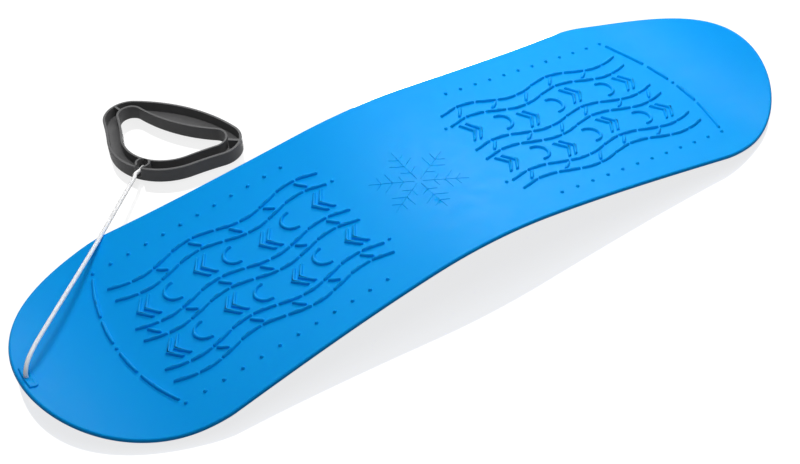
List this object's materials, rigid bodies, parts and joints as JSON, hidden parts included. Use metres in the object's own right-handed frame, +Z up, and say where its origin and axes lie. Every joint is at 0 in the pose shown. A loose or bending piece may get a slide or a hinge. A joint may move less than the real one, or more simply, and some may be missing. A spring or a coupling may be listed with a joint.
{
  "type": "snowboard",
  "caption": "Moulded plastic snowboard for children, dished and upturned at both ends, with raised foot pads, a pull cord at the nose and a rounded triangular hand grip.",
  "frame": {"origin": "on the ground, under the middle of the box round the deck and the hand grip", "axes": "+X along the board from nose to tail, +Y towards the side where the hand grip lies, +Z up"},
  "size_m": [0.8532, 0.4626, 0.0487],
  "materials": {
    "deck_plastic": "satin",
    "cord_fibre": "braided",
    "handle_plastic": "fine grain"
  },
  "bodies": {
    "deck": {"deck": "deck_plastic"},
    "knot": {"deck_knot": "cord_fibre"},
    "cord": {"pull_cord": "cord_fibre", "handle_knot": "cord_fibre"},
    "handle": {"handle": "handle_plastic"}
  },
  "joints": [
    {"name": "cord_swing", "type": "hinge", "parent": "deck", "child": "knot", "pos_m": [-0.41879, -0.09313, 0], "axis": [0, 0, 1], "range_deg": [0, 268]},
    {"name": "cord_lift", "type": "hinge", "parent": "knot", "child": "cord", "pos_m": [-0.41739, -0.09171, 0.0295], "axis": [0.7106, -0.7036, 0], "range_deg": [0, 80], "deforming": ["pull_cord"]},
    {"name": "handle_lift", "type": "hinge", "parent": "cord", "child": "handle", "pos_m": [-0.20521, 0.12258, 0.0082], "axis": [0.5329, -0.8462, 0], "range_deg": [0, 90]}
  ]
}
